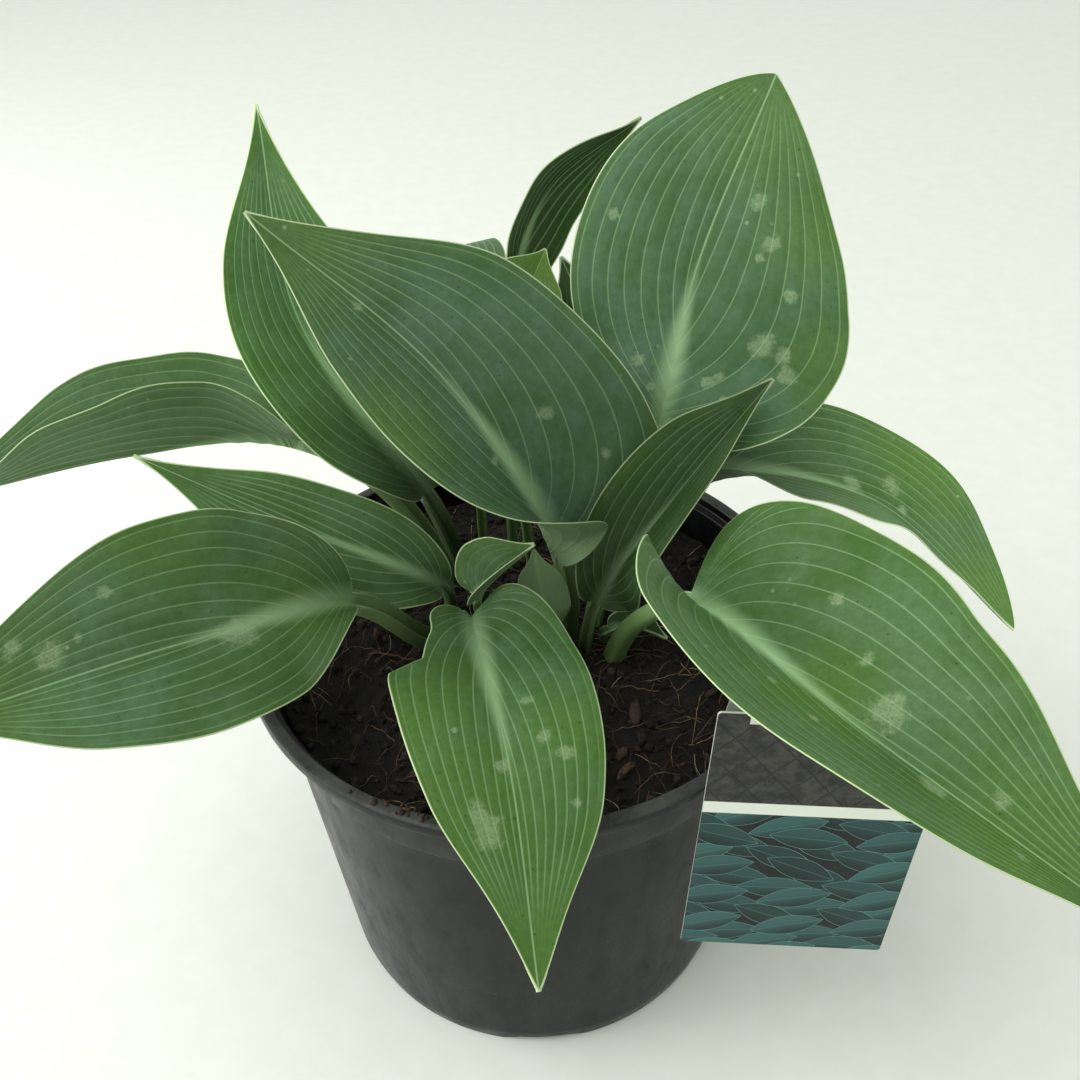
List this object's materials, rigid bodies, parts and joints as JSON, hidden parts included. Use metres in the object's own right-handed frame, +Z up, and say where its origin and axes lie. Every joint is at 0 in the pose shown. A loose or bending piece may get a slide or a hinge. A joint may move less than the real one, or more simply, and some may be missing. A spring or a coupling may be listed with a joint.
{
  "type": "potted hosta plant",
  "caption": "Leafy hosta growing in the soil of a round tapered nursery pot, with a plant label hung over its rim by a strap.",
  "frame": {"origin": "centre of the pot's flat underside, on the surface that the pot stands on", "axes": "+Z up along the pot's axis; -Y is the plant's front, where the lowest leaves and the label lie; +X is to its right"},
  "size_m": [0.3842, 0.3107, 0.3021],
  "materials": {
    "pot": "dark grey-green injection-moulded plastic, satin",
    "soil": "moist dark peat and bark compost, matte",
    "leaf_blue": "blue-green leaf with a waxy bloom, satin",
    "leaf_green": "mid-green leaf, satin",
    "leaf_worn": "yellow-green leaf with worn, spotted bloom, satin",
    "leaf_young": "bright yellow-green young leaf, satin",
    "leaf_shaded": "dark green leaf of the shaded middle, satin",
    "label": "printed plastic card, semi-gloss"
  },
  "bodies": {
    "root": {"pot": "pot", "soil": "soil", "leaf_tall_right": "leaf_blue", "leaf_central": "leaf_blue", "leaf_tall_left": "leaf_green", "leaf_far_left": "leaf_green", "leaf_folded": "leaf_green", "leaf_lance_left": "leaf_green", "leaf_low_left": "leaf_worn", "leaf_front": "leaf_worn", "leaf_low_right": "leaf_green", "leaf_arching_right": "leaf_green", "leaf_upper_back": "leaf_shaded", "leaf_rear_drooping": "leaf_blue", "leaf_young_pale": "leaf_young", "leaf_back_shaded": "leaf_shaded", "leaf_small_cup": "leaf_green", "leaf_small_sheath": "leaf_shaded", "leaf_small_low": "leaf_shaded", "plant_label": "label"}
  },
  "joints": []
}
